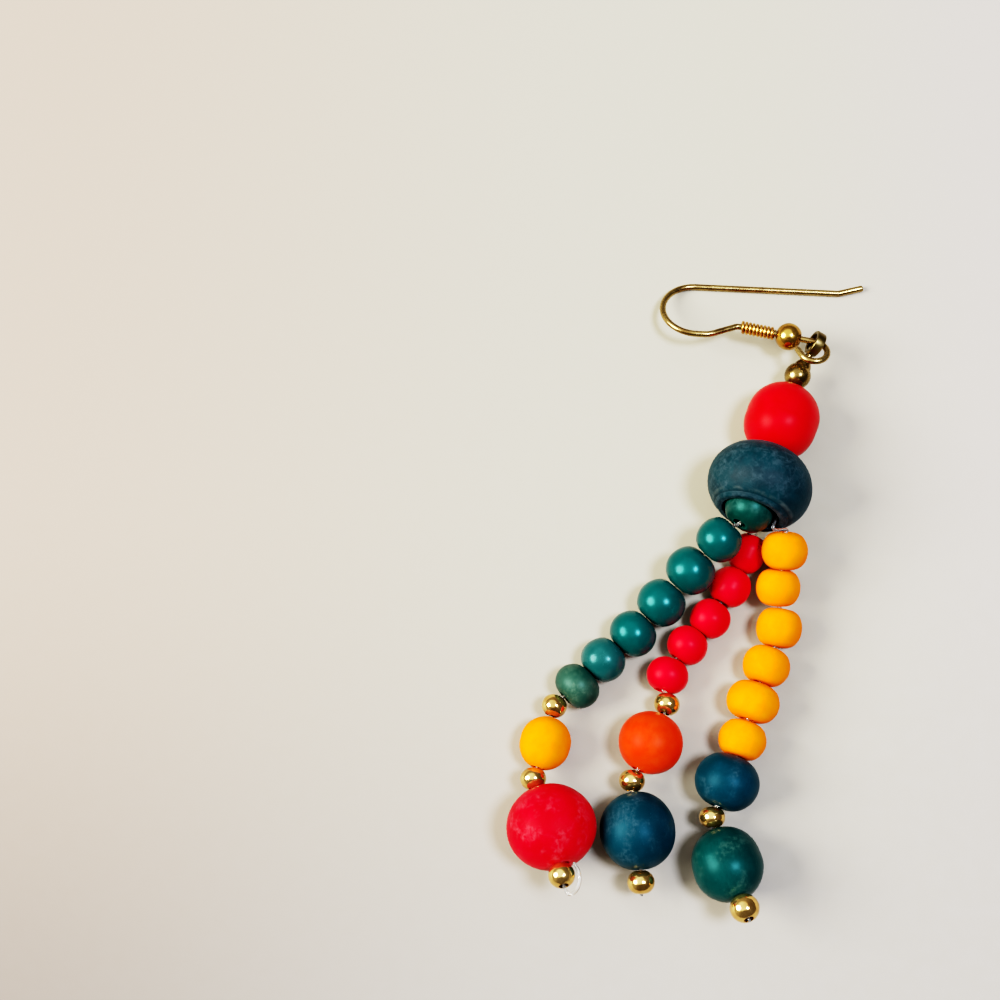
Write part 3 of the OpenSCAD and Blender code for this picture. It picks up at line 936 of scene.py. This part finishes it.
# Where each thread lies round the middle of the hole above the strands, in degrees
LANE_R = 0.3 * MM
LANE = {"green": 90, "red": 330, "yellow": 210}
# How far before the collar bead the threads bend into its hole
COLLAR_APPROACH = 0.075 * MM
# Two threads leave the mouth along its wall: how far from it and where round it they lie, how deep they
# meet it, and how far past the rim they leave it
WALL_GAP = 0.2 * MM
WALL_R = MOUTH_R - THREAD_R - WALL_GAP
WALL_ANGLE = {"red": -102, "yellow": 180}
WALL_DEPTH = 2.5 * MM
RIM_STEP = 0.7 * MM
# Each thread's free end beyond its last bead's centre, in mm; the green strand's is a curl
FREE_END = {
    "green": [(0.3, -1.3, 0.7), (0.7, -1.9, 1), (1.4, -1.6, 1.2), (1.8, -0.7, 1.2), (1.7, 0.4, 1.2),
              (1.2, 1.3, 1.2)],
    "red": [(0, -1.35, -0.1)],
    "yellow": [(0.4, -1.3, 0.6)],
}


def lane(strand):
    """Offset that keeps the three threads apart in the cap bead and on the way into the collar bead."""
    a = math.radians(LANE[strand])
    side = CAP_AXIS.cross(UP).normalized()
    return LANE_R * (math.cos(a) * side + math.sin(a) * UP)


def mouth_points(strand):
    """A thread's way along the wall of the collar's mouth and over its rim."""
    if strand not in WALL_ANGLE:
        return []
    a = math.radians(WALL_ANGLE[strand])
    side = COLLAR_AXIS.cross(UP).normalized()
    top = side.cross(COLLAR_AXIS)
    wall = COLLAR + WALL_R * (math.cos(a) * side + math.sin(a) * top)
    return [wall + (COLLAR_HALF + reach) * COLLAR_AXIS for reach in (-WALL_DEPTH, RIM_STEP)]


def build_thread(strand, material):
    """One thread from the bead tip through cap, collar and strand to its free end."""
    points = CENTRES[strand]
    nodes = strand_nodes(strand)
    offset = lane(strand)
    top = COLLAR - (COLLAR_HALF + COLLAR_APPROACH) * COLLAR_AXIS
    floor = COLLAR + (COLLAR_HALF - MOUTH_DEPTH) * COLLAR_AXIS
    route = [spot + offset for spot in (TIP + KNOT_DEPTH * CAP_AXIS, CAP, top, floor)]
    route += mouth_points(strand)
    for i, (node, centre) in enumerate(zip(nodes, points)):
        axis = hole_axis(strand, i)
        length = 2 * size_of(node, centre, axis)[0]
        if i == 0:
            route.append(centre - (length / 2 + LEAD_IN) * axis)
        straight = STRAIGHT_SHARE * length * axis
        route += [centre - straight, centre + straight]
    route += [points[-1] + Vector(spot) * MM for spot in FREE_END[strand]]
    path, radii = rounded_ends(smooth_path(route, THREAD_STEPS), THREAD_R, THREAD_BEVEL)
    piece = tube_piece(f"{strand}_thread_nylon", path, radii, THREAD_SIDES, material)
    fitted(piece, [f"{strand}_thread"])


def build_threads():
    material = nylon_finish()
    for strand in STRANDS:
        build_thread(strand, material)


# Surface, light and camera

# Tones of the sheet on the screen, with painted light and shade: beyond the jewel, at its left and right,
# nearer, and in the shaded corner
SHEET_FAR = (230, 226, 215)
SHEET_LEFT = (230, 220, 205)
SHEET_RIGHT = (230, 225, 220)
SHEET_NEAR = (223, 219, 212)
SHEET_SHADED_CORNER = (204, 192, 177)
# Where one tone turns to the next, in mm
NEAR_FROM_TO = (15, -55)
LEFT_FROM_TO = (0, -80)
RIGHT_FROM_TO = (5, 40)
SHEET_REACH = 1.5


def build_floor():
    """A pale sheet with painted shade that is a little darker and warmer in the near left corner."""
    material, tree = new_material("surface_finish")
    spot = spot_mm(tree, SEED["sheet"])
    place = add(tree, "ShaderNodeSeparateXYZ", {0: spot})
    near = between(tree, place.outputs["Y"], *NEAR_FROM_TO)
    left = between(tree, place.outputs["X"], *LEFT_FROM_TO)
    right = between(tree, place.outputs["X"], *RIGHT_FROM_TO)
    # Painted light and shade: the sheet is warmer on the left, darker nearer and darkest in the near left
    # corner
    colour = mixed(tree, right, lit(*SHEET_FAR), lit(*SHEET_RIGHT))
    colour = mixed(tree, near, colour, lit(*SHEET_NEAR))
    colour = mixed(tree, left, colour, mixed(tree, near, lit(*SHEET_LEFT), lit(*SHEET_SHADED_CORNER)))
    fine = cloud(tree, spot, 0.6, detail=4)
    shaded(tree, {"Base Color": colour, "Roughness": between(tree, fine, 0.2, 0.8, 0.55, 0.7),
                  "Specular IOR Level": 0.2, "Normal": bumped(tree, fine, 0.01, 0.3)})
    corners = [Vector((x, y, 0)) * SHEET_REACH for x, y in ((-1, -1), (1, -1), (1, 1), (-1, 1))]
    floor = mesh_piece("pale_surface", corners, [(0, 1, 2, 3)], material)


# Each light's direction from the jewel, how far away and how wide it is, its watts and its colour
LIGHTS = {
    "left_light": ((-0.8, 0.01, 0.57), 2.2, 1.3, 80, (0.97, 0.955, 0.885)),
    "right_light": ((0.31, -0.04, 0.95), 2.0, 0.48, 37, (0.72, 0.79, 0.98)),
}


def area_light(name, toward, distance, size, power, colour):
    """A round light that shines on the jewel."""
    data = bpy.data.lights.new(name, "AREA")
    data.shape = "DISK"
    data.size = size
    data.energy = power
    data.color = colour
    light = bpy.data.objects.new(name, data)
    light.location = Vector(toward).normalized() * distance
    light.rotation_euler = (-light.location).to_track_quat("-Z", "Y").to_euler()
    bpy.context.scene.collection.objects.link(light)


LEFT_GLOW = (0.17, 0.165, 0.15, 1)
RIGHT_GLOW = (0.06, 0.06, 0.06, 1)
NEAR_GLOW = (0.04, 0.036, 0.032, 1)
OVERHEAD = (0.86, 0.88, 0.88, 1)
# Directions from the jewel to the room's left side, its bright ceiling and whoever looks on
LEFT_SIDE = (-0.9, 0.4, 0)
CEILING = (-0.3, 0.25, 0.92)
ONLOOKER = (0.02, -0.85, 0.52)


def build_world():
    """A room that is bright overhead, dim to the left, dimmer to the right, and dark where whoever looks
    down on the jewel stands."""
    world = bpy.data.worlds.new("studio")
    bpy.context.scene.world = world
    world.use_nodes = True
    tree = world.node_tree
    tree.nodes.clear()
    toward = add(tree, "ShaderNodeTexCoord").outputs["Generated"]

    def facing(aim):
        """Cosine of the angle between the direction that is looked in and the aim."""
        inputs = {0: toward, 1: Vector(aim).normalized()}
        return add(tree, "ShaderNodeVectorMath", inputs, operation="DOT_PRODUCT").outputs["Value"]

    colour = mixed(tree, between(tree, facing(LEFT_SIDE), -0.6, 0.9), RIGHT_GLOW, LEFT_GLOW)
    colour = mixed(tree, between(tree, facing(CEILING), 0.72, 0.88), colour, OVERHEAD)
    colour = mixed(tree, between(tree, facing(ONLOOKER), 0.7, 0.86), colour, NEAR_GLOW)
    back = add(tree, "ShaderNodeBackground", {"Color": colour, "Strength": 1.0})
    add(tree, "ShaderNodeOutputWorld", {"Surface": back.outputs[0]})


CAMERA_LENS = 68.04
SENSOR_WIDTH = 36
# The camera's place, seen from the middle of the picture on the surface
CAMERA_ARM = Vector((0, -0.04366, 0.20541))
# The middle of the picture on the surface, from the anchor
PICTURE_MIDDLE = Vector((-0.0282, -0.0007, 0))


def build_camera():
    aim = ANCHOR + PICTURE_MIDDLE
    data = bpy.data.cameras.new("camera")
    data.lens = CAMERA_LENS
    data.sensor_width = SENSOR_WIDTH
    data.clip_start = 0.01
    data.clip_end = 10
    camera = bpy.data.objects.new("camera", data)
    camera.location = aim + CAMERA_ARM
    camera.rotation_euler = (-CAMERA_ARM).to_track_quat("-Z", "Y").to_euler()
    bpy.context.scene.collection.objects.link(camera)
    bpy.context.scene.camera = camera


def build_stage():
    build_camera()
    build_floor()
    build_world()
    for name, row in LIGHTS.items():
        area_light(name, *row)
    set_tone()


# The curve of a curve mapping that acts on red, green and blue alike
COMBINED = 3


def set_tone():
    """Gives the picture the contrast of the tone table."""
    settings = bpy.context.scene.view_settings
    settings.view_transform = "Standard"
    settings.look = "None"
    settings.use_curve_mapping = True
    curve = settings.curve_mapping.curves[COMBINED]
    curve.points[0].location = TONE[0]
    curve.points[-1].location = TONE[-1]
    for spot in TONE[1:-1]:
        curve.points.new(*spot)
    settings.curve_mapping.update()


build_stage()
build_strands()
build_cap()
build_collar()
shank_frame = build_hook()
build_coil(shank_frame)
build_ball(shank_frame)
build_tip()
build_threads()
